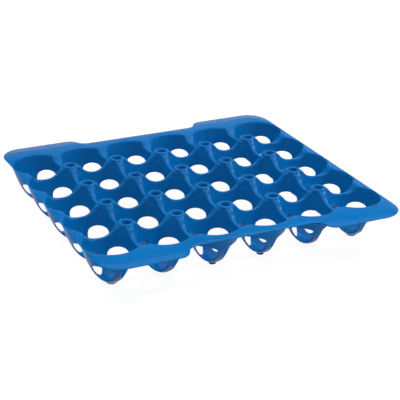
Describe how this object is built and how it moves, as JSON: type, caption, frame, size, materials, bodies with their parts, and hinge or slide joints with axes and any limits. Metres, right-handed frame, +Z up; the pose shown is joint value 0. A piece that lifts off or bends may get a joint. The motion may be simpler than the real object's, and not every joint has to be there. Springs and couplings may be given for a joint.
{
  "type": "egg tray",
  "caption": "Moulded plastic egg tray: pointed cups with open windows on a square grid, hollow posts between them and a thin flange with stepped sides.",
  "frame": {"origin": "on the floor, under the middle of the tray", "axes": "+X to the right along the longer rows of cups, +Y away from the viewer along the shorter ones, +Z up out of the cups"},
  "size_m": [0.292, 0.292, 0.0435],
  "materials": {
    "plastic": "semi-gloss blue polypropylene"
  },
  "bodies": {
    "root": {"tray": "plastic"}
  },
  "joints": []
}
